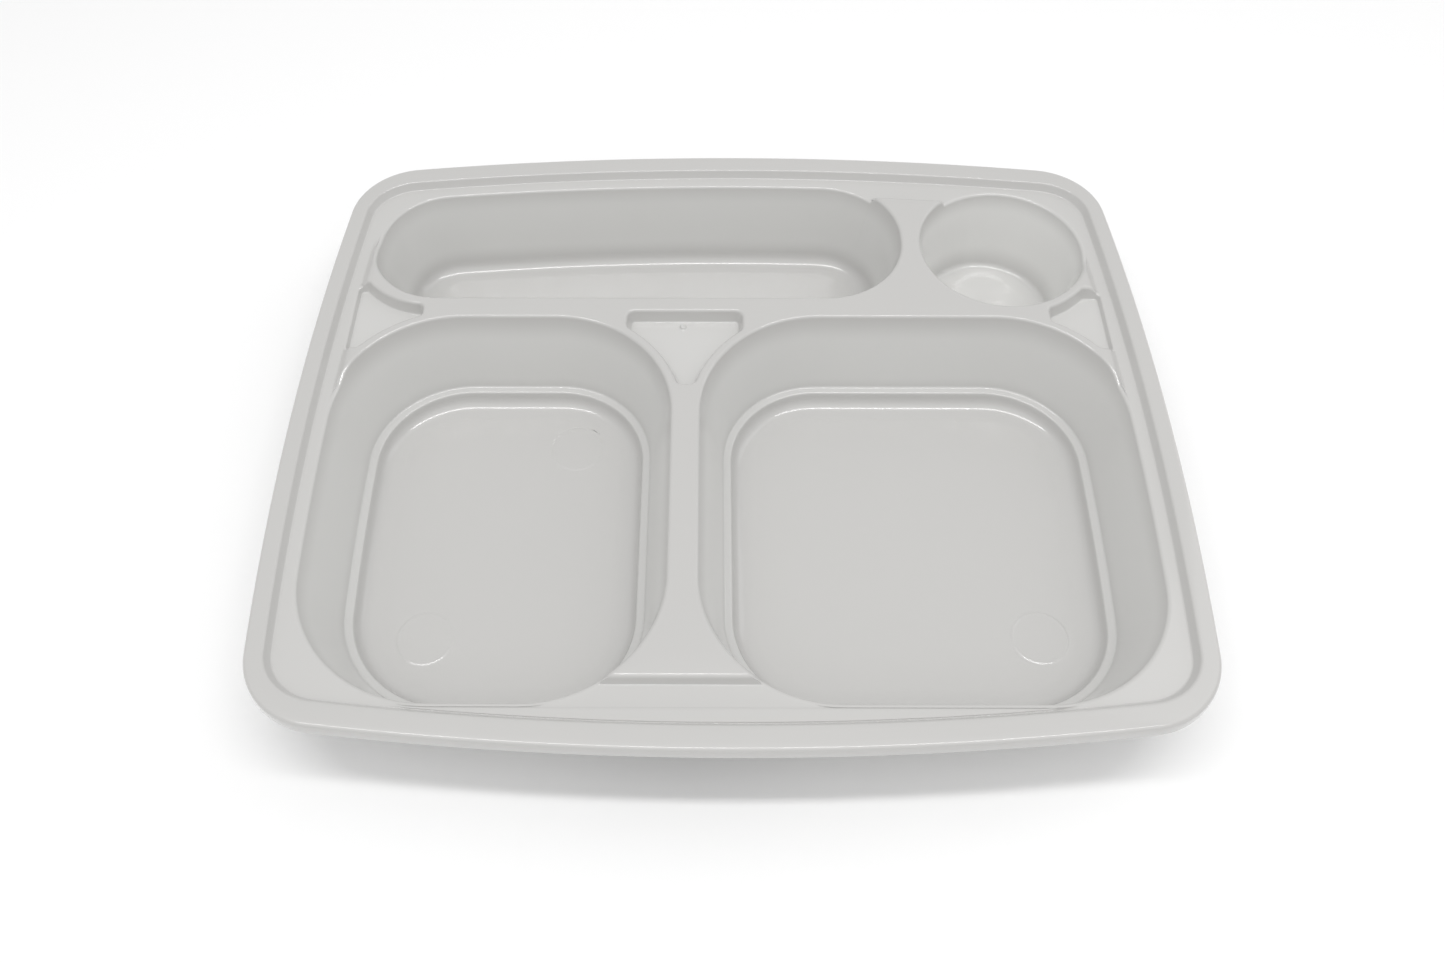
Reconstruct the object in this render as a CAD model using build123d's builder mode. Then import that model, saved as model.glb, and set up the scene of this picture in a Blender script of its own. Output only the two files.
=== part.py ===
"""A thermoformed meal tray: one thin sheet with two main wells, a long well and a round well, a divider deck
between them and a stepped rim. Millimetres, +Z up. The origin is on the table, under the middle of the tray.

The sheet is written as nine regions that meet face to face along its forming lines: the rim, the divider
deck, the four wells and the three small stiffening pockets.
"""

import os

from build123d import *

# ---- driving dimensions ----
tray_width = 250.0  # along X, at the fullest part of the bowed sides
tray_depth = 210.0  # along Y, at the fullest part of the bowed front and back
well_depth = 30.0  # from the rim top to the inside of the main well floors
sheet = 0.6  # formed thickness
side_bow = 5.2  # how far the middle of a side stands out past its corners
front_bow = 8.2  # the same for the front and the back
outline_radius = 22.0  # corners of the outline, seen from above

skirt_drop = 3.5  # the turned-down outer edge
rim_side = 5.2  # flat top of the rim at the two sides
rim_end = 6.9  # flat top of the rim at the front and the back
rim_inner_radius = 15.0  # its inner corners
step_width = 1.3  # sloping step from the rim down to the lid ledge
ledge_drop = 2.5  # lid ledge below the rim top
plateau_side = 11.0  # edge of the raised divider deck, in from the outline at the two sides
plateau_end = 17.5  # the same at the front and the back
plateau_radius = 30.0  # its corners
plateau_drop = 0.2  # divider deck below the rim top
plateau_draft = 20.0  # lean of the deck's edge, degrees from vertical

well_draft = 16.0  # lean of the main well walls
long_draft = 13.0  # lean of the long well walls
shoulder_drop = 25.0  # narrow shoulder low on those walls, below the rim top
shoulder_width = 2.2
floor_fillet = 4.0
well_side = 115.6  # outer edge of both main wells, from the middle of the tray
well_back = 33.3  # back edge of both main wells
well_front = -92.6  # front edge of both main wells
left_well_right = -16.5
right_well_left = -8.5
main_radius = 36.0  # corners of the main wells
long_front = 41.0
long_right = 55.0
long_inset = 11.6  # back and left edge of the long well, in from the outline
long_radii = (22.0, 25.0)  # its left and right ends
round_centre = (86.7, 63.8)
round_radius = 26.0
round_draft = 10.0
round_fillet = 2.0

pocket_drop = 4.3  # pocket floors below the rim top
pocket_draft = 25.0
pocket_gap = 2.6  # web of deck left between a pocket and the wells beside it

pad_radius = 7.8  # faint round pads on the main well floors
pad_rise = 0.2
left_pads = [(-84.9, -60.3), (-46.6, 5.4)]
right_pads = [(86.7, -59.5)]

# ---- sizes worked out from those ----
rim_top = well_depth + sheet
deck_top = rim_top - plateau_drop
ledge_top = rim_top - ledge_drop
shoulder_z = rim_top - shoulder_drop
half_width = tray_width / 2
half_depth = tray_depth / 2
corner_x = half_width - side_bow
corner_y = half_depth - front_bow
side_radius = (corner_y**2 + side_bow**2) / (2 * side_bow)
left_corner = (-well_side + main_radius, well_back - main_radius)
left_inner_corner = (left_well_right - main_radius, well_back - main_radius)
right_inner_corner = (right_well_left + main_radius, well_back - main_radius)
right_corner = (well_side - main_radius, well_back - main_radius)
long_corner = (-half_width + long_inset + long_radii[0], long_front + long_radii[0])


def bowed_outline(side_inset, end_inset, radius=0.0):
    """The tray's four bowed sides, drawn in by one amount at the sides and another at the front and back."""
    x, y = corner_x - side_inset, corner_y - end_inset
    with BuildSketch() as outline:
        with BuildLine():
            ThreePointArc((x, -y), (half_width - side_inset, 0), (x, y))
            ThreePointArc((x, y), (0, half_depth - end_inset), (-x, y))
            ThreePointArc((-x, y), (side_inset - half_width, 0), (-x, -y))
            ThreePointArc((-x, -y), (0, end_inset - half_depth), (x, -y))
        make_face()
        if radius:
            fillet(outline.vertices(), radius)
    return outline.sketch


def rim_inner_line(inset):
    """A line round the inside of the rim, inset from the inner edge of its flat top."""
    return bowed_outline(rim_side + inset, rim_end + inset, rim_inner_radius - inset)


def main_outline(left, right):
    """A main well's edge: a rounded rectangle whose side by the rim is bowed with the rim."""
    with BuildSketch() as outline:
        with Locations(((left + right) / 2, (well_front + well_back) / 2)):
            Rectangle(right - left, well_back - well_front)
        with Locations((side_radius - well_side, 0)):
            Circle(side_radius, mode=Mode.INTERSECT)
        with Locations((well_side - side_radius, 0)):
            Circle(side_radius, mode=Mode.INTERSECT)
        fillet(outline.vertices(), main_radius)
    return outline.sketch


def long_outline():
    """The long well's edge, with nearly half-round ends."""
    with BuildSketch() as outline:
        add(bowed_outline(long_inset, long_inset))
        with Locations((long_right, long_front)):
            Rectangle(tray_width * 2, tray_depth, align=(Align.MAX, Align.MIN), mode=Mode.INTERSECT)
        left_end = outline.vertices().sort_by(Axis.X)[:2]
        fillet(left_end, long_radii[0])
        right_end = outline.vertices().sort_by(Axis.X)[-2:]
        fillet(right_end, long_radii[1])
    return outline.sketch


def deck_form(lowered):
    """Everything below the deck's upper face, or below its lower face when lowered by the sheet."""
    with BuildPart() as form:
        with BuildSketch():
            add(rim_inner_line(step_width))
        extrude(amount=ledge_top - lowered)
        with BuildSketch(Plane.XY.offset(ledge_top - lowered)):
            add(bowed_outline(plateau_side + lowered, plateau_end + lowered, plateau_radius))
        extrude(amount=deck_top - ledge_top, taper=plateau_draft)
    return form.part


def well_form(outline, grown, draft):
    """A well with a shoulder low on its wall. Grown by the sheet it is the outside of the well."""
    with BuildPart() as form:
        with BuildSketch(Plane.XY.offset(rim_top)):
            offset(outline, amount=grown)
        extrude(amount=-(shoulder_drop + grown), taper=draft)
        shoulder = form.faces().sort_by(Axis.Z)[0]
        with BuildSketch(Plane.XY.offset(shoulder_z - grown)):
            offset(shoulder.moved(Location((0, 0, grown - shoulder_z))), amount=-shoulder_width)
        extrude(amount=-(well_depth - shoulder_drop), taper=draft)
        fillet(form.faces().sort_by(Axis.Z)[0].edges(), floor_fillet + grown)
    return form.part


def round_form(grown):
    """The round well: one leaning wall and a rounded floor edge."""
    with BuildPart() as form:
        with BuildSketch(Plane.XY.offset(rim_top)):
            with Locations(round_centre):
                Circle(round_radius + grown)
        extrude(amount=-(well_depth + grown), taper=round_draft)
        fillet(form.faces().sort_by(Axis.Z)[0].edges(), round_fillet + grown)
    return form.part


def pocket_form(outline, grown):
    """A stiffening pocket, with one leaning wall."""
    with BuildPart() as form:
        with BuildSketch(Plane.XY.offset(rim_top)):
            offset(outline, amount=grown)
        extrude(amount=-(pocket_drop + grown), taper=pocket_draft)
    return form.part


def pocket_outline(left, right, front, back, webs, radius):
    """A small pocket between wells. Each web is the centre and radius of a well corner it follows."""
    with BuildSketch() as outline:
        with Locations(((left + right) / 2, (front + back) / 2)):
            Rectangle(right - left, back - front)
        for centre, well_radius in webs:
            with Locations(centre):
                Circle(well_radius + pocket_gap, mode=Mode.SUBTRACT)
        fillet(outline.vertices(), radius)
    return outline.sketch


left_main = main_outline(-well_side, left_well_right)
right_main = main_outline(right_well_left, well_side)
long_edge = long_outline()
centre_webs = [(left_inner_corner, main_radius), (right_inner_corner, main_radius)]
left_webs = [(left_corner, main_radius), (long_corner, long_radii[0])]
right_webs = [(right_corner, main_radius), (round_centre, round_radius)]
centre_edge = pocket_outline(-30.0, 5.0, 8.0, 36.8, centre_webs, 2.0)
left_side_edge = pocket_outline(-113.0, -92.5, 21.0, 48.0, left_webs, 1.0)
right_side_edge = pocket_outline(97.0, 114.0, 21.0, 45.4, right_webs, 1.0)
deck_above = deck_form(0)


def rim_opening(grown):
    """The hollow inside the rim: it follows the step down to the ledge, then goes straight on down."""
    with BuildPart() as form:
        with BuildSketch(Plane.XY.offset(rim_top)):
            add(rim_inner_line(-grown))
        with BuildSketch(Plane.XY.offset(ledge_top)):
            add(rim_inner_line(step_width - grown))
        loft(ruled=True)
        extrude(form.faces().sort_by(Axis.Z)[0], amount=sheet)
    return form.part


# ---- rim: flat top, turned-down skirt outside and the step down to the lid ledge inside ----
with BuildPart() as channel:
    with BuildSketch(Plane.XY.offset(rim_top - skirt_drop)):
        add(bowed_outline(sheet, sheet, outline_radius - sheet))
    extrude(amount=skirt_drop - sheet)
    add(rim_opening(sheet), mode=Mode.SUBTRACT)

with BuildPart() as rim:
    with BuildSketch(Plane.XY.offset(rim_top - skirt_drop)):
        add(bowed_outline(0, 0, outline_radius))
    extrude(amount=skirt_drop)
    fillet(rim.faces().sort_by(Axis.Z)[-1].edges(), 1.0)
    add(channel.part, mode=Mode.SUBTRACT)
    add(rim_opening(0), mode=Mode.SUBTRACT)

# ---- wells and pockets: each is a thin cup, cut off level with the deck's upper face ----
with BuildPart() as left_main_well:
    add(well_form(left_main, sheet, well_draft))
    add(well_form(left_main, 0, well_draft), mode=Mode.SUBTRACT)
    add(deck_above, mode=Mode.INTERSECT)
    with BuildSketch(Plane.XY.offset(sheet)):
        with Locations(left_pads):
            Circle(pad_radius)
    extrude(amount=pad_rise)

with BuildPart() as right_main_well:
    add(well_form(right_main, sheet, well_draft))
    add(well_form(right_main, 0, well_draft), mode=Mode.SUBTRACT)
    add(deck_above, mode=Mode.INTERSECT)
    with BuildSketch(Plane.XY.offset(sheet)):
        with Locations(right_pads):
            Circle(pad_radius)
    extrude(amount=pad_rise)

with BuildPart() as long_well:
    add(well_form(long_edge, sheet, long_draft))
    add(well_form(long_edge, 0, long_draft), mode=Mode.SUBTRACT)
    add(deck_above, mode=Mode.INTERSECT)

with BuildPart() as round_well:
    add(round_form(sheet))
    add(round_form(0), mode=Mode.SUBTRACT)
    add(deck_above, mode=Mode.INTERSECT)

with BuildPart() as centre_pocket:
    add(pocket_form(centre_edge, sheet))
    add(pocket_form(centre_edge, 0), mode=Mode.SUBTRACT)
    add(deck_above, mode=Mode.INTERSECT)

with BuildPart() as left_pocket:
    add(pocket_form(left_side_edge, sheet))
    add(pocket_form(left_side_edge, 0), mode=Mode.SUBTRACT)
    add(deck_above, mode=Mode.INTERSECT)

with BuildPart() as right_pocket:
    add(pocket_form(right_side_edge, sheet))
    add(pocket_form(right_side_edge, 0), mode=Mode.SUBTRACT)
    add(deck_above, mode=Mode.INTERSECT)

# ---- deck: the ledge inside the rim and the raised webs, with an opening for every well and pocket ----
with BuildPart() as deck:
    add(deck_above)
    add(deck_form(sheet), mode=Mode.SUBTRACT)
    add(well_form(left_main, sheet, well_draft), mode=Mode.SUBTRACT)
    add(well_form(right_main, sheet, well_draft), mode=Mode.SUBTRACT)
    add(well_form(long_edge, sheet, long_draft), mode=Mode.SUBTRACT)
    add(round_form(sheet), mode=Mode.SUBTRACT)
    add(pocket_form(centre_edge, sheet), mode=Mode.SUBTRACT)
    add(pocket_form(left_side_edge, sheet), mode=Mode.SUBTRACT)
    add(pocket_form(right_side_edge, sheet), mode=Mode.SUBTRACT)

rim.part.label = "rim"
deck.part.label = "deck"
left_main_well.part.label = "left_main_well"
right_main_well.part.label = "right_main_well"
long_well.part.label = "long_well"
round_well.part.label = "round_well"
centre_pocket.part.label = "centre_pocket"
left_pocket.part.label = "left_pocket"
right_pocket.part.label = "right_pocket"

os.makedirs("parts", exist_ok=True)
export_step(rim.part, "parts/rim.step")
export_step(deck.part, "parts/deck.step")
export_step(left_main_well.part, "parts/left_main_well.step")
export_step(right_main_well.part, "parts/right_main_well.step")
export_step(long_well.part, "parts/long_well.step")
export_step(round_well.part, "parts/round_well.step")
export_step(centre_pocket.part, "parts/centre_pocket.step")
export_step(left_pocket.part, "parts/left_pocket.step")
export_step(right_pocket.part, "parts/right_pocket.step")
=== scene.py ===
"""The looks of a formed meal tray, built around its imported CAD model.

The tray is one thin plastic sheet. It is drawn region by region: the rim, the deck, four wells and three
small pockets. A region starts as a closed line of stations seen from above and is extruded ring by ring along
a section. Neighbouring regions share a line on flat sheet, so the joins do not show. Sizes are in
millimetres here and are brought to metres when a piece is finished.
"""

import math

import bmesh
import bpy
from bpy.props import FloatProperty, FloatVectorProperty, PointerProperty
from mathutils import Euler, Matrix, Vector


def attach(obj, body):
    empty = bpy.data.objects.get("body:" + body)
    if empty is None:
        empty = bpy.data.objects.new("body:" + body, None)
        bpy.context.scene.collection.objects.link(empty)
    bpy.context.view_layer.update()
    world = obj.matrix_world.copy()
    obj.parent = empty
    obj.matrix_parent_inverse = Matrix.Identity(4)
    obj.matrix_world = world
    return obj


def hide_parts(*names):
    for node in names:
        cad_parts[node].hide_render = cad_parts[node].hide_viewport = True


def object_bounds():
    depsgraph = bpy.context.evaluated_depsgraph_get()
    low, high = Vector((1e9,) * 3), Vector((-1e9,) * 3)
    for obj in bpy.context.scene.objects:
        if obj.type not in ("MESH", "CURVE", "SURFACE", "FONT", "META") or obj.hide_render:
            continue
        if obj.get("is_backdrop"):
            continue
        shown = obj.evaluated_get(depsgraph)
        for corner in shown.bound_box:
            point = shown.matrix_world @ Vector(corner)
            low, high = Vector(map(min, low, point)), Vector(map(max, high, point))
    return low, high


bl_info = {
    "name": "Formed Meal Tray",
    "version": (1, 0, 0),
    "blender": (4, 5, 0),
    "location": "3D View > Sidebar > Tray",
    "description": "Builds a thin formed plastic tray with wells, pockets and a stepped rim",
    "category": "Add Mesh",
}

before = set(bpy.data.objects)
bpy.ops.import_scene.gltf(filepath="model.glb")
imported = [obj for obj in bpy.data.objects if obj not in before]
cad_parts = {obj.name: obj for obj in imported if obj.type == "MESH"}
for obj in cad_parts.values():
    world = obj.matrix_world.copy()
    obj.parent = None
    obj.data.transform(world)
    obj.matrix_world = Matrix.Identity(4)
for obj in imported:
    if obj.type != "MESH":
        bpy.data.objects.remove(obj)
CAD_LOW, CAD_HIGH = (Vector(corner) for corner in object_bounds())
MM = 0.001
RIM_TOP = CAD_HIGH.z / MM  # top of the rim, above the table
STRAIGHT = 1.0e5  # radius given to a side that is not bowed

# ---- plan of the tray, in millimetres from its middle ----
SIDE_BOW = (99.8, 5.2)  # half the chord of a side, and how far its middle stands out
END_BOW = (119.8, 8.2)  # the same for the front and the back
RIM_CORNER = 22.0
WELL_SIDE = 115.6  # outer edge of the two main wells
WELL_BACK = 33.3
WELL_FRONT = 92.2
LEFT_WELL_RIGHT = -16.5
RIGHT_WELL_LEFT = -8.5
WELL_CORNER = 36.0
LEFT_FRONT_CORNER = 39.0  # the left main well's outer front corner is a little rounder
LONG_FRONT, LONG_RIGHT = 41.0, 55.0
LONG_LEFT, LONG_BACK = 113.4, 93.4
LONG_CORNERS = (22.0, 25.0)  # at its left and its right end
ROUND_MIDDLE = (86.7, 63.8)
ROUND_RADIUS = 26.0
POCKET_WEB = 2.6  # sheet left between a pocket and the wells beside it
# front, right, back and left edge of each pocket, and the rounds between its sides
CENTRE_POCKET = (7.2, 4.4, 35.7, -30.7)
CENTRE_ROUNDS = (2.2, 2.8, 2.6, 2.6, 2.8, 2.2)
LEFT_POCKET = (21.0, -92.5, 48.0, -115.0)
LEFT_ROUNDS = (2.2, 2.0, 2.0, 2.0, 2.2, 2.2)
RIGHT_POCKET = (21.0, 115.2, 45.4, 97.0)
RIGHT_ROUNDS = (2.2, 2.2, 2.2, 2.0, 2.0, 2.0)
DECK_FRONT, DECK_SIDE, DECK_BACK = 86.4, 115.0, 87.9  # foot of the step up to the raised deck
DECK_CORNERS = (36.0, 26.0, 24.0, 36.0)
SIDE_EASE = 0.45  # the step is this much less steep at the two sides
SIDEWAYS = 0.7  # a part of the deck's foot faces a side when its direction is past this along X
# directions in which that step crosses the sheet between the wells
DECK_FACINGS = ((0.0, -1.0), (0.0686, 0.9976), (0.9993, 0.037), (-0.9993, 0.037))
# round marks on the floors: place, radius and rise
LEFT_MARKS = ((-84.9, -60.3, 7.7, 0.1), (-46.6, 5.4, 7.7, 0.1))
RIGHT_MARKS = ((86.7, -59.5, 7.7, 0.1),)
POCKET_MARKS = ((-13.7, 32.4, 0.7, 0.45),)
# rings of a mark: bead widths out from its radius, and share of its rise
MARK_RINGS = ((1.0, 0.0), (0.5, 0.75), (0.0, 1.3), (-0.5, 1.3), (-1.0, 1.0), (-1.8, 1.0))
MARK_STATIONS = 48
BEAD = 0.45  # half the width of a large mark's bead

# ---- sections, in millimetres ----
STEP_RUN = 1.2  # run of the step up to the raised deck
STEP_ROUNDS = (0.45, 1.5)  # rounding at its foot and at its top
STEP_REACH = 6.0  # where its section ends, on either side of the foot
# fine line on the front ledge: distance from the middle, and extra height
SEAT_STEP = ((92.35, 0.0), (92.55, 0.1), (92.85, 0.3), (93.3, 0.35))
SKIRT_LEAN = 0.35  # how far in the skirt leans from its foot to the rim top
RIM_FLATS = (3.0, 1.6)  # where its outer section ends, and where its inner one starts
RIM_STEP_ROUND = 0.55  # rounding at the foot of the rim's step
LEDGE_SHARE = 0.42  # width of ledge that belongs to the rim, beyond its step
LIP_MARGIN = 0.05  # level sheet kept outside the rounding of a well's edge
SHOULDER_FALL = 0.35  # slope of the shoulder, towards the floor
SHOULDER_ROUNDS = (0.9, 0.7)
DISH_RUN = 5.5  # from the foot of a wall to the level middle of the floor
DISH_ROUND = 14.0
FLOOR_RING = 7.0  # inset of a floor's last ring from the foot of the wall
LONG_BEND, LONG_DISH = 5.0, 0.5  # radius at the foot of the wall, and rise of the floor's border
ROUND_BEND, ROUND_DISH = 2.2, 0.4
POCKET_BEND, POCKET_RING = 0.7, 0.6  # radius at the foot of the wall, and inset of the last ring from there
WELL_FADE = 20.0  # depth in which a wall under the ledge evens out with the rest
TURN, RIM_TURN = 4.0, 3.0  # most degrees between two stations, round a well and round the rim
RUN = 4.0  # most millimetres between two stations
SHORTEST = 0.01  # a shorter arc gets no station
HEIGHT_CHANGE = 0.05  # stations stand closer where the deck's height changes by more than this
FOOT_PARTS = 8  # points along each arc of the deck's foot

# ---- finish and stage ----
PLASTIC_IOR = 1.49
# The thinning below also places a painted glow. Deep in the wells the sheet is coloured lighter: partly its
# own tone where drawn thin, and partly painted light standing in for light shining through the thin plastic
# and lifting the shade down there.
FLOOR_SHARE, NARROW_FLOOR_SHARE = 0.12, 0.5  # how much of the thinning is left on a floor
CLOUDINESS = 0.35
WAVES_PER_METRE, MOTTLES_PER_METRE = 38.0, 14.0
THINNING, THICKENING = (0.0, 0.3), (0.7, 0.95)  # shares of a well's depth
STUDIO_HALF = 3.0  # half the width of the studio floor, in metres
AIR_STRENGTH = 0.66
# soft lights: name, place, size in metres and power in watts. All point to the middle of the tray
SOFTBOXES = (
    ("strip_softbox", (0.0, -0.06, 0.9), (1.0, 0.08), 3.5),
    ("front_softbox", (0.0, -0.5, 0.9), (1.4, 0.7), 1.5),
    ("right_softbox", (0.85, 0.42, 0.75), (0.4, 1.0), 0.95),
)
CAMERA_PLACE = (-0.00503, -0.2028, 0.2543)  # in metres, the last of them up from the rim top
CAMERA_TURN = (90 - 57.48, 0.12, 0.215)  # degrees
CAMERA_LENS = 28.23
CAMERA_SHIFT = (0.0107, 0.0284)


def measure(name, description, default):
    """A size in millimetres, or a lean in degrees."""
    return FloatProperty(name=name, description=description, default=default)


def tint(name, description, *default):
    """A colour, from its red, green and blue."""
    return FloatVectorProperty(name=name, description=description, subtype="COLOR", size=3, default=default)


class TraySizes(bpy.types.PropertyGroup):
    """Sizes of the formed sheet, in millimetres, and the lean of its walls, in degrees"""

    sheet: measure("Sheet", "Thickness of the formed sheet", 0.5)
    skirt: measure("Skirt", "Drop of the turned-down outer edge", 3.4)
    rim_side: measure("Rim at sides", "Width of the rim's flat top there", 5.2)
    rim_end: measure("Rim at ends", "Its width at the front and back", 6.9)
    rim_step: measure("Rim step", "Run of the step down to the ledge", 1.3)
    outer_arris: measure("Outer arris", "Rounding over the skirt", 1.1)
    inner_arris: measure("Inner arris", "Rounding at the rim's inner edge", 0.8)
    ledge_drop: measure("Ledge drop", "Lid ledge below the rim top", 2.5)
    deck_drop: measure("Deck drop", "Raised deck below the rim top", 0.2)
    well_depth: measure("Well depth", "Well floors below the rim top", 30.05)
    well_draft: measure("Well draft", "Lean of the main wells' walls", 16.0)
    long_draft: measure("Long draft", "Lean of the long well's walls", 13.0)
    round_draft: measure("Round draft", "Lean of the round well's wall", 10.0)
    shoulder_drop: measure("Shoulder drop", "Low shoulder below the rim", 25.0)
    shoulder: measure("Shoulder", "Width of that shoulder", 2.2)
    floor_bend: measure("Floor bend", "Radius between wall and floor", 4.2)
    dish: measure("Dish", "Rise of a floor's border above its middle", 0.8)
    well_lip: measure("Well lip", "Rounding over the edge of a well", 1.1)
    pocket_drop: measure("Pocket drop", "Pocket floors below the rim", 4.3)
    pocket_draft: measure("Pocket draft", "Lean of the pocket walls", 16.0)


class TrayColours(bpy.types.PropertyGroup):
    """Colours of the sheet and of the stage"""

    sheet: tint("Sheet", "Colour of the plastic", 0.505, 0.5, 0.489)
    # Painted glow: these two lighter colours are partly the thinner sheet's own tone and partly painted
    # light, standing in for light shining through the sheet and lifting the shade deep in the wells.
    stretched_glow: tint("Stretched sheet", "Colour deep in the wells, where it is thinner", 0.66, 0.66, 0.646)
    thinnest: tint("Thinnest sheet", "Colour down a narrow well, where it is thinnest", 0.78, 0.78, 0.765)
    cloud: tint("Cloud", "Faint uneven tint of the sheet", 0.57, 0.56, 0.545)
    trimmed: tint("Trimmed edge", "Colour of the cut edge", 0.66, 0.66, 0.65)
    floor: tint("Floor", "Colour of the studio floor", 0.93, 0.93, 0.93)


# ---- plan lines ----


def straight(dx, dy, at):
    """A straight side facing (dx, dy), at that distance from the middle."""
    return dx * (at - STRAIGHT), dy * (at - STRAIGHT), STRAIGHT


def bowed(dx, dy, at, bow):
    """A side that bows outwards. bow is half its chord and how far its middle stands out."""
    chord, rise = bow
    radius = (chord * chord + rise * rise) / (2 * rise)
    return dx * (at - radius), dy * (at - radius), radius


def hollow(middle, radius):
    """A side that curves inwards round a neighbouring well's corner."""
    return middle[0], middle[1], -(radius + POCKET_WEB)


def corner_middle(side, following, radius, heart):
    """Middle of the round that joins two sides, on the side of the outline's heart."""
    (ax, ay, ar), (bx, by, br) = side, following
    reach_a, reach_b = abs(ar - radius), abs(br - radius)
    gap = math.hypot(bx - ax, by - ay)
    along = (reach_a**2 - reach_b**2 + gap**2) / (2 * gap)
    across = math.sqrt(max(reach_a**2 - along**2, 0.0))
    ux, uy = (bx - ax) / gap, (by - ay) / gap
    choices = [
        (ax + ux * along - uy * across * turn, ay + uy * along + ux * across * turn) for turn in (1, -1)
    ]
    return min(choices, key=lambda p: math.hypot(p[0] - heart[0], p[1] - heart[1]))


def outline(sides, radii, heart):
    """Arcs (x, y, radius, start, sweep) of a closed line, anticlockwise. radii[i] follows sides[i]."""
    count = len(sides)
    middles = [corner_middle(sides[i], sides[(i + 1) % count], radii[i], heart) for i in range(count)]
    arcs = []
    for i, (x, y, radius) in enumerate(sides):
        before, after = middles[i - 1], middles[i]
        facing = []
        for mx, my in (before, after):
            reach = radius - (radii[i - 1] if (mx, my) == before else radii[i])
            facing.append(math.atan2((my - y) / reach, (mx - x) / reach))
        sweep = math.remainder(facing[1] - facing[0], math.tau)
        arcs.append((x, y, radius, facing[0], sweep))
        nx, ny, next_radius = sides[(i + 1) % count]
        reach = next_radius - radii[i]
        leaving = math.atan2((after[1] - ny) / reach, (after[0] - nx) / reach)
        arcs.append((after[0], after[1], radii[i], facing[1], (leaving - facing[1]) % math.tau))
    return arcs


def rounded(corners, pieces=5):
    """A section as (inset, height) points, from corners (inset, height, rounding radius)."""
    points = [corners[0][:2]]
    for (x0, y0, _), (x1, y1, radius), (x2, y2, _) in zip(corners, corners[1:], corners[2:]):
        here = Vector((x1, y1))
        back, ahead = Vector((x0, y0)) - here, Vector((x2, y2)) - here
        back.normalize()
        ahead.normalize()
        half = back.angle(ahead) / 2
        reach = radius / math.tan(half)
        middle = here + (back + ahead).normalized() * (radius / math.sin(half))
        first, last = here + back * reach - middle, here + ahead * reach - middle
        turn = first.angle_signed(last)
        for k in range(pieces + 1):
            angle = -turn * k / pieces
            cos, sin = math.cos(angle), math.sin(angle)
            x = middle.x + first.x * cos - first.y * sin
            y = middle.y + first.x * sin + first.y * cos
            points.append((x, y))
    points.append(corners[-1][:2])
    return points


def along(points, x):
    """Height of a section at inset x, or of its ends beyond them."""
    if x <= points[0][0]:
        return points[0][1]
    for (x0, y0), (x1, y1) in zip(points, points[1:]):
        if x <= x1:
            return y0 + (y1 - y0) * (x - x0) / max(x1 - x0, 1e-9)
    return points[-1][1]


def deck_step(sizes):
    """Section across the end of the raised deck: distance in from the deck's end, and height."""
    low, high = -sizes.ledge_drop, -sizes.deck_drop
    foot_round, top_round = STEP_ROUNDS
    return rounded(
        [
            (-STEP_REACH, low, 0.0),
            (0.0, low, foot_round),
            (STEP_RUN, high, top_round),
            (STEP_REACH, high, 0.0),
        ]
    )


def side_ease(dx):
    """Share of its full slope that the deck's step keeps where dx is the X part of its facing."""
    return SIDE_EASE if abs(dx) > SIDEWAYS else 1


def deck_height(x, y, sizes):
    """Height of the deck or of the ledge round it, from the rim top."""
    inside = min(((px - x) * dx + (py - y) * dy) * ease for px, py, dx, dy, ease in DECK_FOOT)
    return along(deck_step(sizes), inside) + along(SEAT_STEP, -y)


def station(arc, part):
    """Place and outward direction (x, y, dx, dy) part of the way along an arc."""
    x, y, radius, start, sweep = arc
    angle = start + sweep * part
    dx, dy = math.cos(angle), math.sin(angle)
    return x + radius * dx, y + radius * dy, dx, dy


def deck_line():
    """Foot of the step up to the raised deck."""
    sides = [
        straight(0, -1, DECK_FRONT),
        bowed(1, 0, DECK_SIDE, SIDE_BOW),
        bowed(0, 1, DECK_BACK, END_BOW),
        bowed(-1, 0, DECK_SIDE, SIDE_BOW),
    ]
    return outline(sides, DECK_CORNERS, (0, 0))


def foot_points():
    """Points along the deck's foot, their outward directions and the share of its slope kept there."""
    places = [station(arc, k / FOOT_PARTS) for arc in deck_line() for k in range(FOOT_PARTS)]
    return [(*place, side_ease(place[2])) for place in places]


DECK_FOOT = foot_points()


def split(arc, low, high, lip, sizes, depth=5):
    """Stations along part of an arc, closer together where the deck beside it changes height."""
    places = [station(arc, part) for part in (low, (low + high) / 2, high)]
    heights = [deck_height(x + dx * lip, y + dy * lip, sizes) for x, y, dx, dy in places]
    if depth and max(abs(heights[0] - heights[1]), abs(heights[1] - heights[2])) > HEIGHT_CHANGE:
        middle = (low + high) / 2
        first = split(arc, low, middle, lip, sizes, depth - 1)
        return first + split(arc, middle, high, lip, sizes, depth - 1)
    return [places[0]]


def stations(arcs, sizes, lip=0.0, turn=TURN):
    """Stations round a closed line, at most turn degrees and RUN millimetres apart."""
    places = []
    for arc in arcs:
        sweep, length = abs(arc[4]), abs(arc[2] * arc[4])
        if length < SHORTEST:
            continue
        count = max(math.ceil(math.degrees(sweep) / turn), math.ceil(length / RUN))
        for k in range(count):
            places += split(arc, k / count, (k + 1) / count, lip, sizes)
    return places


def rim_stations(sizes):
    """Stations round the outside of the tray."""
    half_width, half_depth = CAD_HIGH.x / MM, CAD_HIGH.y / MM
    sides = [
        bowed(0, -1, half_depth, END_BOW),
        bowed(1, 0, half_width, SIDE_BOW),
        bowed(0, 1, half_depth, END_BOW),
        bowed(-1, 0, half_width, SIDE_BOW),
    ]
    return stations(outline(sides, [RIM_CORNER] * 4, (0, 0)), sizes, turn=RIM_TURN)


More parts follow.
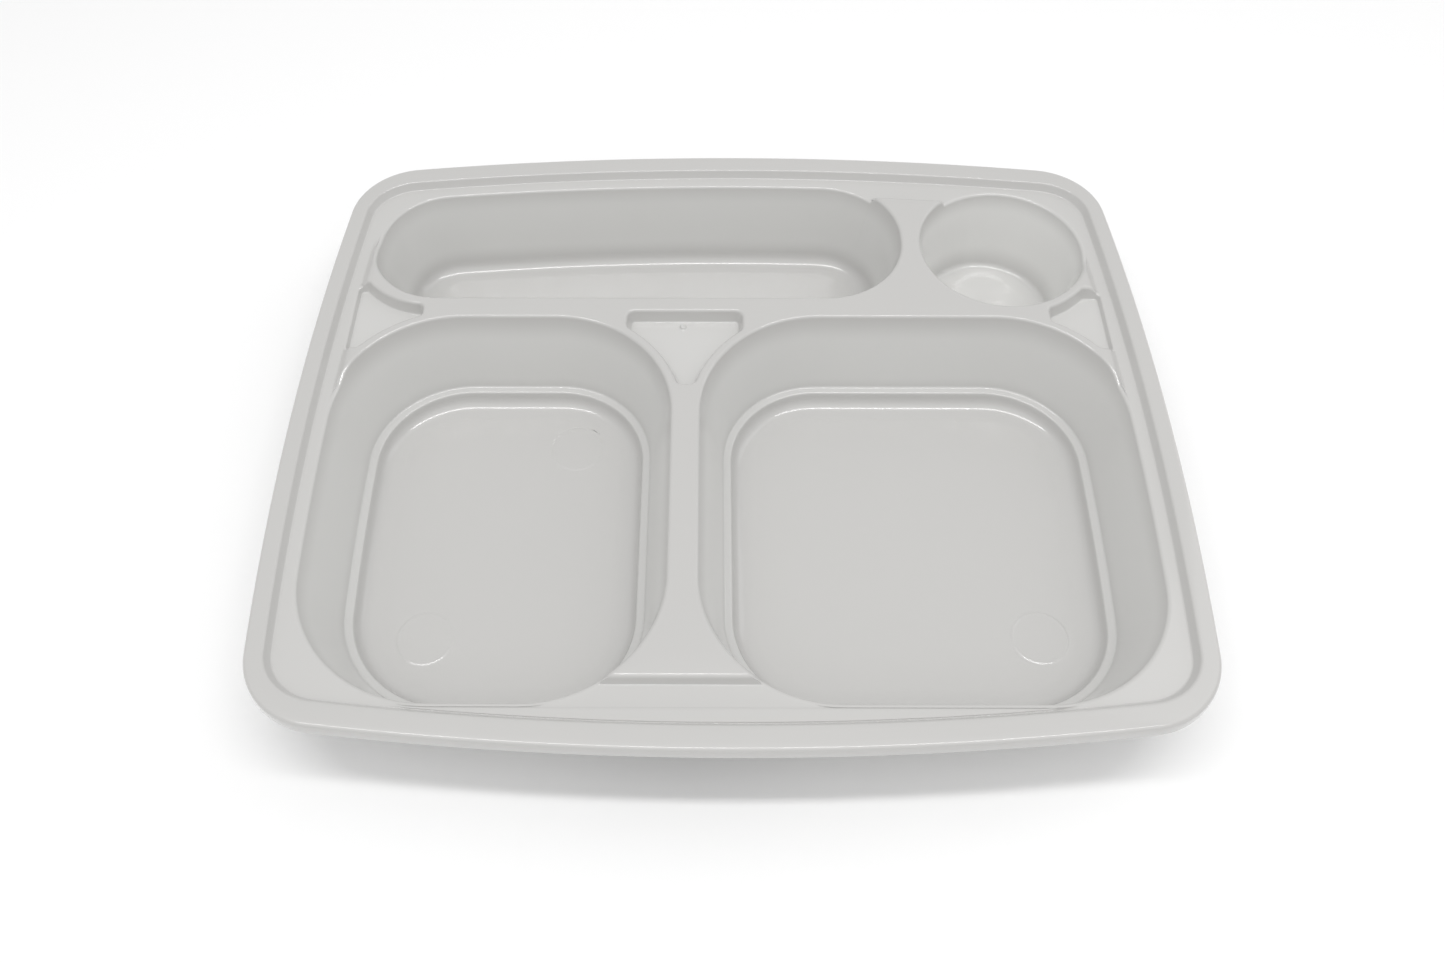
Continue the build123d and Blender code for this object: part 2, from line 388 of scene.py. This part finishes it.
def left_main_line():
    """Edge of the left main well."""
    sides = [
        straight(0, -1, WELL_FRONT),
        straight(1, 0, LEFT_WELL_RIGHT),
        straight(0, 1, WELL_BACK),
        bowed(-1, 0, WELL_SIDE, SIDE_BOW),
    ]
    return outline(sides, [WELL_CORNER, WELL_CORNER, WELL_CORNER, LEFT_FRONT_CORNER], (-65, -30))


def right_main_line():
    """Edge of the right main well."""
    sides = [
        straight(0, -1, WELL_FRONT),
        bowed(1, 0, WELL_SIDE, SIDE_BOW),
        straight(0, 1, WELL_BACK),
        straight(-1, 0, -RIGHT_WELL_LEFT),
    ]
    return outline(sides, [WELL_CORNER] * 4, (53, -30))


def long_line():
    """Edge of the long well."""
    sides = [
        straight(0, -1, -LONG_FRONT),
        straight(1, 0, LONG_RIGHT),
        bowed(0, 1, LONG_BACK, END_BOW),
        bowed(-1, 0, LONG_LEFT, SIDE_BOW),
    ]
    left, right = LONG_CORNERS
    return outline(sides, [right, right, left, left], (-30, 67))


def round_line():
    """Edge of the round well."""
    return [(*ROUND_MIDDLE, ROUND_RADIUS, 0.0, math.tau)]


def centre_pocket_line():
    """Edge of the pocket between the main wells and the long well."""
    front, right, back, left = CENTRE_POCKET
    low = WELL_BACK - WELL_CORNER
    sides = [
        straight(0, -1, -front),
        hollow((RIGHT_WELL_LEFT + WELL_CORNER, low), WELL_CORNER),
        straight(1, 0, right),
        straight(0, 1, back),
        straight(-1, 0, -left),
        hollow((LEFT_WELL_RIGHT - WELL_CORNER, low), WELL_CORNER),
    ]
    return outline(sides, CENTRE_ROUNDS, (-12.5, 25))


def left_pocket_line():
    """Edge of the pocket at the tray's left side."""
    front, right, back, left = LEFT_POCKET
    sides = [
        straight(0, -1, -front),
        hollow((WELL_CORNER - WELL_SIDE, WELL_BACK - WELL_CORNER), WELL_CORNER),
        straight(1, 0, right),
        hollow((LONG_CORNERS[0] - LONG_LEFT, LONG_FRONT + LONG_CORNERS[0]), LONG_CORNERS[0]),
        straight(0, 1, back),
        straight(-1, 0, -left),
    ]
    return outline(sides, LEFT_ROUNDS, (-107, 38))


def right_pocket_line():
    """Edge of the pocket at the tray's right side."""
    front, right, back, left = RIGHT_POCKET
    sides = [
        straight(0, -1, -front),
        straight(1, 0, right),
        straight(0, 1, back),
        hollow(ROUND_MIDDLE, ROUND_RADIUS),
        straight(-1, 0, -left),
        hollow((WELL_SIDE - WELL_CORNER, WELL_BACK - WELL_CORNER), WELL_CORNER),
    ]
    return outline(sides, RIGHT_ROUNDS, (107, 38))


# ---- drawing in sheet ----


def first_ring(bm, places):
    """A closed line of edges through the given places."""
    ring = bmesh.ops.create_circle(bm, cap_ends=False, radius=1.0, segments=len(places))["verts"]
    for vert, place in zip(ring, places):
        vert.co = place
    return ring


def ring_edges(bm, ring):
    """The edges of a ring, in the order of its vertices."""
    return [bm.edges.get((a, b)) for a, b in zip(ring, ring[1:] + ring[:1])]


def next_ring(bm, ring, places):
    """Extrudes a ring's edges and moves the new ring to the given places."""
    extruded = bmesh.ops.extrude_edge_only(bm, edges=ring_edges(bm, ring))["geom"]
    fresh = {item for item in extruded if isinstance(item, bmesh.types.BMVert)}
    following = [next(e.other_vert(v) for e in v.link_edges if e.other_vert(v) in fresh) for v in ring]
    for vert, place in zip(following, places):
        vert.co = place
    return following


def bead_width(radius):
    """Half the width of the bead round a mark."""
    return min(BEAD, radius / 2)


def fill_flat(bm, edges):
    """Fills level sheet between closed lines of edges."""
    bmesh.ops.triangle_fill(bm, use_beauty=True, use_dissolve=False, edges=edges, normal=(0, 0, 1))


def close_ring(bm, ring, marks):
    """Fills the flat middle of a floor, with its round marks, each a slight pad with a beaded edge."""
    height = ring[0].co.z
    edges = ring_edges(bm, ring)
    bases = []
    for x, y, radius, _ in marks:
        base = first_ring(bm, round_places(x, y, radius + 2 * bead_width(radius), height))
        edges += ring_edges(bm, base)
        bases.append(base)
    fill_flat(bm, edges)
    for top, (x, y, radius, rise) in zip(bases, marks):
        for step, share in MARK_RINGS:
            reach = radius + step * bead_width(radius)
            top = next_ring(bm, top, round_places(x, y, reach, height + rise * share))
        fill_flat(bm, ring_edges(bm, top))


def round_places(x, y, radius, height):
    """Places evenly round a level circle."""
    turns = (math.tau * k / MARK_STATIONS for k in range(MARK_STATIONS))
    return [Vector((x + radius * math.cos(t), y + radius * math.sin(t), height)) for t in turns]


def ring_places(places, inset, height, lip, lean, sizes, fade=0.0):
    """Where one ring lies. The whole wall slides down along its own lean where the deck beside it is lower,
    and with a fade less so further down, so that the floor stays level."""
    ring = []
    for x, y, dx, dy in places:
        low = deck_height(x + dx * lip, y + dy * lip, sizes) + sizes.deck_drop
        if fade:
            low *= max(0.0, 1 + (height + sizes.deck_drop) / fade)
        reach = inset - low * lean
        ring.append(Vector((x - dx * reach, y - dy * reach, height + low)))
    return ring


def rim_ring(places, inset, height, sizes, inner):
    """One ring of the rim. Inner rings are measured from the inner edge of its flat top."""
    ring = []
    for x, y, dx, dy in places:
        reach = inset
        if inner:
            reach += sizes.rim_side * dx * dx + sizes.rim_end * dy * dy
        ring.append(Vector((x - dx * reach, y - dy * reach, height)))
    return ring


def rim_foot(sizes):
    """Inset of the line where the rim ends and the deck begins, from the inner edge of the flat top."""
    return sizes.rim_step + LEDGE_SHARE


def finish_sheet(name, bm, sizes, nodes, narrow=False):
    """Turns the mesh to face up, gives it its thickness and finish, and stands it in for its CAD nodes."""
    bmesh.ops.recalc_face_normals(bm, faces=bm.faces)
    tilt = sum((face.normal.z * face.calc_area() for face in bm.faces), 0.0)
    if tilt < 0:
        bmesh.ops.reverse_faces(bm, faces=bm.faces)
    bmesh.ops.translate(bm, verts=bm.verts, vec=(0, 0, RIM_TOP))
    bmesh.ops.scale(bm, verts=bm.verts, vec=(MM, MM, MM))
    for face in bm.faces:
        face.smooth = True
    for edge in bm.edges:
        if edge.is_boundary:
            edge.smooth = False
    mesh = bpy.data.meshes.new(name)
    bm.to_mesh(mesh)
    bm.free()
    piece = bpy.data.objects.new(name, mesh)
    bpy.context.scene.collection.objects.link(piece)
    wall = piece.modifiers.new("Sheet thickness", "SOLIDIFY")
    wall.thickness = sizes.sheet * MM
    wall.offset = -1.0
    wall.use_even_offset = False
    mesh.materials.append(sheet_material(narrow))
    mesh.materials.append(trimmed_material())
    wall.material_offset_rim = 1
    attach(piece, "root")
    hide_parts(*nodes)


def lip_run(sizes, draft):
    """How far the rounding over a well's edge reaches out on to the deck."""
    return sizes.well_lip * math.tan(math.radians(90 - draft) / 2) + LIP_MARGIN


def form_cup(name, arcs, section, sizes, draft, fade, marks=(), narrow=False):
    """A well or pocket: rings down its section, then rings across the floor to its flat middle."""
    lip = lip_run(sizes, draft)
    lean = math.tan(math.radians(draft))
    places = stations(arcs, sizes, lip)
    bm = bmesh.new()
    ring = first_ring(bm, ring_places(places, *section[0], lip, lean, sizes, fade))
    for inset, height in section[1:]:
        ring = next_ring(bm, ring, ring_places(places, inset, height, lip, lean, sizes, fade))
    close_ring(bm, ring, marks)
    finish_sheet(name + "_sheet", bm, sizes, [name], narrow)


def plain_section(sizes, draft, bend, dish):
    """Section of a well with one straight wall."""
    lip = lip_run(sizes, draft)
    top, floor = -sizes.deck_drop, -sizes.well_depth
    heel = (top - floor - dish) * math.tan(math.radians(draft))
    return rounded(
        [
            (-lip, top, 0.0),
            (0.0, top, sizes.well_lip),
            (heel, floor + dish, bend),
            (heel + DISH_RUN, floor, DISH_ROUND),
            (heel + FLOOR_RING, floor, 0.0),
        ]
    )


def shouldered_section(sizes):
    """Section of a main well, with a shoulder low on its wall."""
    lip = lip_run(sizes, sizes.well_draft)
    top, floor = -sizes.deck_drop, -sizes.well_depth
    lean = math.tan(math.radians(sizes.well_draft))
    knee = (sizes.shoulder_drop + top) * lean
    below = sizes.well_depth - sizes.shoulder_drop - SHOULDER_FALL - sizes.dish
    heel = knee + sizes.shoulder + below * lean
    return rounded(
        [
            (-lip, top, 0.0),
            (0.0, top, sizes.well_lip),
            (knee, -sizes.shoulder_drop, SHOULDER_ROUNDS[0]),
            (knee + sizes.shoulder, -sizes.shoulder_drop - SHOULDER_FALL, SHOULDER_ROUNDS[1]),
            (heel, floor + sizes.dish, sizes.floor_bend),
            (heel + DISH_RUN, floor, DISH_ROUND),
            (heel + FLOOR_RING, floor, 0.0),
        ]
    )


# ---- finish ----


def node_group(name, inputs, outputs):
    """An empty shader node group. inputs are (name, default), with None for a vector; outputs are names."""
    group = bpy.data.node_groups.new(name, "ShaderNodeTree")
    for label, default in inputs:
        kind = "NodeSocketVector" if default is None else "NodeSocketFloat"
        socket = group.interface.new_socket(label, in_out="INPUT", socket_type=kind)
        if default is not None:
            socket.default_value = default
    for label in outputs:
        group.interface.new_socket(label, in_out="OUTPUT", socket_type="NodeSocketFloat")
    return group, group.nodes.new("NodeGroupInput"), group.nodes.new("NodeGroupOutput")


def maths(tree, operation, *values):
    """A Math node. Each value is a number or a socket."""
    node = tree.nodes.new("ShaderNodeMath")
    node.operation = operation
    for socket, value in zip(node.inputs, values):
        if isinstance(value, (int, float)):
            socket.default_value = value
        else:
            tree.links.new(value, socket)
    return node.outputs[0]


def noise(tree, coordinates, scale, detail):
    """A Noise texture's value."""
    node = tree.nodes.new("ShaderNodeTexNoise")
    node.inputs["Detail"].default_value = detail
    tree.links.new(coordinates, node.inputs["Vector"])
    if isinstance(scale, (int, float)):
        node.inputs["Scale"].default_value = scale
    else:
        tree.links.new(scale, node.inputs["Scale"])
    return node.outputs["Fac"]


def grain_group():
    """Fine grain over broad waves, as a height in millimetres, and a slow mottle from 0 to 1."""
    found = bpy.data.node_groups.get("surface_grain")
    if found:
        return found
    group, given, out = node_group(
        "surface_grain",
        [("Place", None), ("Grain per metre", 1100.0), ("Grain height", 0.002), ("Wave height", 0.03)],
        ["Height", "Mottle"],
    )
    grain = noise(group, given.outputs["Place"], given.outputs["Grain per metre"], 2.0)
    waves = noise(group, given.outputs["Place"], WAVES_PER_METRE, 1.5)
    fine = maths(group, "MULTIPLY", grain, given.outputs["Grain height"])
    broad = maths(group, "MULTIPLY", waves, given.outputs["Wave height"])
    group.links.new(maths(group, "ADD", fine, broad), out.inputs["Height"])
    group.links.new(noise(group, given.outputs["Place"], MOTTLES_PER_METRE, 3.0), out.inputs["Mottle"])
    return group


def stretch_glow_group():
    """How thin the sheet has been drawn, which is also the mask of a painted glow: 0 at the rim, 1 half way
    down the walls, little on the floors.
    """
    found = bpy.data.node_groups.get("drawn_down_glow")
    if found:
        return found
    group, given, out = node_group(
        "drawn_down_glow", [("Place", None), ("Top", 0.03), ("Depth", 0.03), ("Floor share", 0.2)], ["Stretch"]
    )
    apart = group.nodes.new("ShaderNodeSeparateXYZ")
    group.links.new(given.outputs["Place"], apart.inputs[0])
    below = maths(group, "SUBTRACT", given.outputs["Top"], apart.outputs["Z"])
    share = maths(group, "DIVIDE", below, given.outputs["Depth"])
    thinning, thicker = (group.nodes.new("ShaderNodeMapRange") for _ in range(2))
    for node, (start, end) in ((thinning, THINNING), (thicker, THICKENING)):
        node.interpolation_type = "SMOOTHSTEP"
        node.inputs["From Min"].default_value = start
        node.inputs["From Max"].default_value = end
        group.links.new(share, node.inputs["Value"])
    loss = maths(group, "SUBTRACT", given.outputs["Floor share"], 1.0)
    left = maths(group, "MULTIPLY_ADD", thicker.outputs["Result"], loss, 1.0)
    group.links.new(maths(group, "MULTIPLY", thinning.outputs["Result"], left), out.inputs["Stretch"])
    return group


def grained_material(name, colour, roughness, spread, grain_height, wave_height):
    """A material with mottled roughness and grain in its bump. Gives back its tree, coordinates, grain node
    and shader too."""
    material = bpy.data.materials.new(name)
    material.use_nodes = True
    tree = material.node_tree
    shader = tree.nodes["Principled BSDF"]
    shader.inputs["Base Color"].default_value = (*colour, 1.0)
    place = tree.nodes.new("ShaderNodeTexCoord").outputs["Object"]
    grain = tree.nodes.new("ShaderNodeGroup")
    grain.node_tree = grain_group()
    grain.inputs["Grain height"].default_value = grain_height
    grain.inputs["Wave height"].default_value = wave_height
    tree.links.new(place, grain.inputs["Place"])
    bump = tree.nodes.new("ShaderNodeBump")
    bump.inputs["Distance"].default_value = MM
    tree.links.new(grain.outputs["Height"], bump.inputs["Height"])
    tree.links.new(bump.outputs["Normal"], shader.inputs["Normal"])
    rough = tree.nodes.new("ShaderNodeMapRange")
    rough.inputs["To Min"].default_value = roughness - spread
    rough.inputs["To Max"].default_value = roughness + spread
    tree.links.new(grain.outputs["Mottle"], rough.inputs["Value"])
    tree.links.new(rough.outputs["Result"], shader.inputs["Roughness"])
    return material, tree, place, grain, shader


def mixed(tree, factor, first, second):
    """A Mix node between two colours, each a triple or a socket."""
    node = tree.nodes.new("ShaderNodeMix")
    node.data_type = "RGBA"
    tree.links.new(factor, node.inputs["Factor"])
    for socket, value in ((node.inputs[6], first), (node.inputs[7], second)):
        if isinstance(value, bpy.types.NodeSocket):
            tree.links.new(value, socket)
        else:
            socket.default_value = (*value, 1.0)
    return node.outputs[2]


def sheet_material(narrow):
    """White formed plastic: satin, slightly uneven, and lighter where it is drawn thin, partly its own tone
    and partly a painted glow standing in for light shining through the sheet deep in the wells. A narrow well
    is drawn thinner all the way down, so its painted glow reaches further on to its floor."""
    name = "narrow_well_sheet" if narrow else "satin_sheet"
    found = bpy.data.materials.get(name)
    if found:
        return found
    colours = bpy.context.scene.tray_colours
    material, tree, place, grain, shader = grained_material(
        name, colours.sheet, roughness=0.335, spread=0.04, grain_height=0.0015, wave_height=0.05
    )
    shader.inputs["IOR"].default_value = PLASTIC_IOR
    shader.inputs["Coat Weight"].default_value = 0.9
    shader.inputs["Coat Roughness"].default_value = 0.1
    # Mask of the painted glow, from how far the sheet is drawn down.
    drawn = tree.nodes.new("ShaderNodeGroup")
    drawn.node_tree = stretch_glow_group()
    drawn.inputs["Top"].default_value = RIM_TOP * MM
    drawn.inputs["Depth"].default_value = bpy.context.scene.tray_sizes.well_depth * MM
    drawn.inputs["Floor share"].default_value = NARROW_FLOOR_SHARE if narrow else FLOOR_SHARE
    tree.links.new(place, drawn.inputs["Place"])
    # Painted glow: the sheet is mixed towards a lighter colour where it is drawn thin, partly its own tone
    # and partly painted light through the sheet.
    thin = colours.thinnest if narrow else colours.stretched_glow
    tone = mixed(tree, drawn.outputs["Stretch"], colours.sheet, thin)
    cloud = tree.nodes.new("ShaderNodeMapRange")
    cloud.inputs["To Max"].default_value = CLOUDINESS
    tree.links.new(grain.outputs["Mottle"], cloud.inputs["Value"])
    tree.links.new(mixed(tree, cloud.outputs["Result"], tone, colours.cloud), shader.inputs["Base Color"])
    return material


def trimmed_material():
    """The trimmed edge of the sheet: duller and a little whiter than its face."""
    found = bpy.data.materials.get("trimmed_edge")
    if found:
        return found
    colours = bpy.context.scene.tray_colours
    material, tree, _, grain, shader = grained_material(
        "trimmed_edge", colours.trimmed, roughness=0.6, spread=0.1, grain_height=0.03, wave_height=0.0
    )
    shader.inputs["IOR"].default_value = PLASTIC_IOR
    tone = mixed(tree, grain.outputs["Mottle"], colours.trimmed, colours.sheet)
    tree.links.new(tone, shader.inputs["Base Color"])
    return material


class TRAY_OT_rim(bpy.types.Operator):
    """Form the rim: skirt, flat top and the step down to the lid ledge"""

    bl_idname = "tray.rim"
    bl_label = "Rim"

    def execute(self, context):
        sizes = context.scene.tray_sizes
        outer = rounded(
            [(0.0, -sizes.skirt, 0.0), (SKIRT_LEAN, 0.0, sizes.outer_arris), (RIM_FLATS[0], 0.0, 0.0)],
            pieces=6,
        )
        inner = rounded(
            [
                (-RIM_FLATS[1], 0.0, 0.0),
                (0.0, 0.0, sizes.inner_arris),
                (sizes.rim_step, -sizes.ledge_drop, RIM_STEP_ROUND),
                (rim_foot(sizes), -sizes.ledge_drop, 0.0),
            ]
        )
        places = rim_stations(sizes)
        bm = bmesh.new()
        ring = first_ring(bm, rim_ring(places, *outer[0], sizes, False))
        for inset, height in outer[1:]:
            ring = next_ring(bm, ring, rim_ring(places, inset, height, sizes, False))
        for inset, height in inner:
            ring = next_ring(bm, ring, rim_ring(places, inset, height, sizes, True))
        for vert in ring:
            vert.co.z = deck_height(vert.co.x, vert.co.y, sizes)
        finish_sheet("rim_sheet", bm, sizes, ["rim"])
        return {"FINISHED"}


class TRAY_OT_wells(bpy.types.Operator):
    """Form the two main wells, the long well and the round well"""

    bl_idname = "tray.wells"
    bl_label = "Wells"

    def execute(self, context):
        sizes = context.scene.tray_sizes
        section = shouldered_section(sizes)
        for name, arcs, marks in (
            ("left_main_well", left_main_line(), LEFT_MARKS),
            ("right_main_well", right_main_line(), RIGHT_MARKS),
        ):
            form_cup(name, arcs, section, sizes, sizes.well_draft, WELL_FADE, marks)
        section = plain_section(sizes, sizes.long_draft, LONG_BEND, LONG_DISH)
        form_cup("long_well", long_line(), section, sizes, sizes.long_draft, WELL_FADE)
        section = plain_section(sizes, sizes.round_draft, ROUND_BEND, ROUND_DISH)
        form_cup("round_well", round_line(), section, sizes, sizes.round_draft, WELL_FADE, narrow=True)
        return {"FINISHED"}


class TRAY_OT_pockets(bpy.types.Operator):
    """Form the three small stiffening pockets"""

    bl_idname = "tray.pockets"
    bl_label = "Pockets"

    def execute(self, context):
        sizes = context.scene.tray_sizes
        lip = lip_run(sizes, sizes.pocket_draft)
        heel = (sizes.pocket_drop - sizes.deck_drop) * math.tan(math.radians(sizes.pocket_draft))
        section = rounded(
            [
                (-lip, -sizes.deck_drop, 0.0),
                (0.0, -sizes.deck_drop, sizes.well_lip),
                (heel, -sizes.pocket_drop, POCKET_BEND),
                (heel + POCKET_RING, -sizes.pocket_drop, 0.0),
            ]
        )
        fade = sizes.pocket_drop - sizes.deck_drop
        for name, arcs, marks in (
            ("centre_pocket", centre_pocket_line(), POCKET_MARKS),
            ("left_pocket", left_pocket_line(), ()),
            ("right_pocket", right_pocket_line(), ()),
        ):
            form_cup(name, arcs, section, sizes, sizes.pocket_draft, fade, marks)
        return {"FINISHED"}


class TRAY_OT_deck(bpy.types.Operator):
    """Form the deck between the wells, with its raised middle and the ledge round it"""

    bl_idname = "tray.deck"
    bl_label = "Deck"

    def execute(self, context):
        sizes = context.scene.tray_sizes
        bm = bmesh.new()
        first_ring(bm, rim_ring(rim_stations(sizes), rim_foot(sizes), 0.0, sizes, True))
        openings = (
            (left_main_line(), sizes.well_draft),
            (right_main_line(), sizes.well_draft),
            (long_line(), sizes.long_draft),
            (round_line(), sizes.round_draft),
            (centre_pocket_line(), sizes.pocket_draft),
            (left_pocket_line(), sizes.pocket_draft),
            (right_pocket_line(), sizes.pocket_draft),
        )
        for arcs, draft in openings:
            lip = lip_run(sizes, draft)
            lean = math.tan(math.radians(draft))
            first_ring(bm, ring_places(stations(arcs, sizes, lip), -lip, 0.0, lip, lean, sizes))
        for vert in bm.verts:
            vert.co.z = 0.0
        fill_flat(bm, bm.edges[:])
        cuts = []
        for dx, dy in DECK_FACINGS:
            foot = max(x * dx + y * dy for x, y, *_ in DECK_FOOT)
            cuts += [(dx, dy, foot - inside / side_ease(dx)) for inside, _ in deck_step(sizes)[1:-1]]
        cuts += [(0.0, -1.0, at) for at, _ in SEAT_STEP]
        for dx, dy, at in cuts:
            bmesh.ops.bisect_plane(
                bm,
                geom=bm.verts[:] + bm.edges[:] + bm.faces[:],
                dist=1e-5,
                plane_co=(dx * at, dy * at, 0),
                plane_no=(dx, dy, 0),
            )
        for vert in bm.verts:
            vert.co.z = deck_height(vert.co.x, vert.co.y, sizes)
        finish_sheet("deck_sheet", bm, sizes, ["deck"])
        return {"FINISHED"}


class TRAY_OT_stage(bpy.types.Operator):
    """Lay the studio floor, hang the soft lights and set the camera"""

    bl_idname = "tray.stage"
    bl_label = "Stage"

    def execute(self, context):
        scene = context.scene
        bm = bmesh.new()
        bmesh.ops.create_grid(bm, x_segments=2, y_segments=2, size=STUDIO_HALF)
        mesh = bpy.data.meshes.new("studio_floor")
        bm.to_mesh(mesh)
        bm.free()
        floor = bpy.data.objects.new("studio_floor", mesh)
        scene.collection.objects.link(floor)
        paper, *_ = grained_material(
            "studio_paper",
            scene.tray_colours.floor,
            roughness=0.85,
            spread=0.05,
            grain_height=0.01,
            wave_height=0.0,
        )
        mesh.materials.append(paper)
        floor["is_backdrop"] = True

        world = bpy.data.worlds.new("studio_air")
        scene.world = world
        world.use_nodes = True
        air = world.node_tree.nodes["Background"]
        air.inputs["Color"].default_value = (1.0, 1.0, 1.0, 1.0)
        air.inputs["Strength"].default_value = AIR_STRENGTH
        for name, place, size, power in SOFTBOXES:
            lamp = bpy.data.lights.new(name, "AREA")
            lamp.shape = "RECTANGLE"
            lamp.size, lamp.size_y = size
            lamp.energy = power
            light = bpy.data.objects.new(name, lamp)
            light.location = place
            light.rotation_euler = (Vector() - Vector(place)).to_track_quat("-Z", "Y").to_euler()
            scene.collection.objects.link(light)

        lens = bpy.data.cameras.new("camera")
        lens.sensor_width = 36.0
        lens.lens = CAMERA_LENS
        lens.shift_x, lens.shift_y = CAMERA_SHIFT
        lens.clip_start = 0.01
        camera = bpy.data.objects.new("camera", lens)
        x, y, up = CAMERA_PLACE
        camera.location = (x, y, RIM_TOP * MM + up)
        camera.rotation_euler = Euler([math.radians(angle) for angle in CAMERA_TURN], "XYZ")
        scene.collection.objects.link(camera)
        scene.camera = camera
        scene.view_settings.view_transform = "Standard"
        return {"FINISHED"}


class TRAY_PT_panel(bpy.types.Panel):
    """Sizes, colours and building steps of the tray"""

    bl_idname = "TRAY_PT_panel"
    bl_label = "Formed Meal Tray"
    bl_space_type = "VIEW_3D"
    bl_region_type = "UI"
    bl_category = "Tray"

    def draw(self, context):
        layout = self.layout
        for group in (context.scene.tray_sizes, context.scene.tray_colours):
            box = layout.box()
            for name in group.__annotations__:
                box.prop(group, name)
        for step in STEPS:
            layout.operator(step.bl_idname)


STEPS = (TRAY_OT_rim, TRAY_OT_deck, TRAY_OT_wells, TRAY_OT_pockets, TRAY_OT_stage)
CLASSES = (TraySizes, TrayColours, *STEPS, TRAY_PT_panel)


def register():
    for cls in CLASSES:
        bpy.utils.register_class(cls)
    bpy.types.Scene.tray_sizes = PointerProperty(type=TraySizes)
    bpy.types.Scene.tray_colours = PointerProperty(type=TrayColours)


def unregister():
    del bpy.types.Scene.tray_colours
    del bpy.types.Scene.tray_sizes
    for cls in reversed(CLASSES):
        bpy.utils.unregister_class(cls)


def main():
    register()
    bpy.ops.tray.rim()
    bpy.ops.tray.deck()
    bpy.ops.tray.wells()
    bpy.ops.tray.pockets()
    bpy.ops.tray.stage()


if __name__ == "__main__":
    main()
